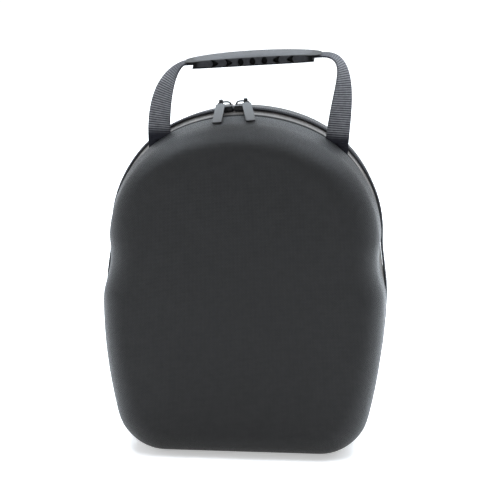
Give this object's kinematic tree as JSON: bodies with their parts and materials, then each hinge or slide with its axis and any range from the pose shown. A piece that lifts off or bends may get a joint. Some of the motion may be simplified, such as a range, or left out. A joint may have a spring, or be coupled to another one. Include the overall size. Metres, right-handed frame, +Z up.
{
  "type": "hat travel case",
  "caption": "Hard-shell zip case for a cap, with two hollow cloth-covered shells and a webbing handle with a moulded grip.",
  "frame": {"origin": "middle of the footprint, on the surface that the case stands on", "axes": "+X to the right, +Y from the front shell to the back shell, +Z up towards the handle"},
  "size_m": [0.2434, 0.134, 0.3448],
  "materials": {
    "shell_fabric": "black woven nylon laminated on a moulded foam shell",
    "zip_tape": "grey-black woven zip tape",
    "zip_coil": "dark nylon coil",
    "slider_paint": "glossy black paint",
    "pull_paint": "fine matte grey",
    "webbing": "ribbed dark grey nylon webbing",
    "grip_rubber": "satin moulded rubber, paler on its crown",
    "hinge_cloth": "plain black cloth strip"
  },
  "bodies": {
    "case": {"front_shell": "shell_fabric", "back_shell": "shell_fabric", "front_tape": "zip_tape", "back_tape": "zip_tape", "zip_coil": "zip_coil", "slider_left": "slider_paint", "slider_right": "slider_paint", "handle_strap": "webbing", "handle_grip": "grip_rubber", "hinge_tape": "hinge_cloth"},
    "left_pull": {"pull_left": "pull_paint"},
    "right_pull": {"pull_right": "pull_paint"}
  },
  "joints": [
    {"name": "left_pull_swing", "type": "hinge", "parent": "case", "child": "left_pull", "pos_m": [-0.02261, 0, 0.29865], "axis": [-0.9908, 0, -0.1353], "range_deg": [0, 74]},
    {"name": "right_pull_swing", "type": "hinge", "parent": "case", "child": "right_pull", "pos_m": [-0.00187, 0, 0.30036], "axis": [-0.9996, 0, -0.0286], "range_deg": [0, 75]}
  ]
}
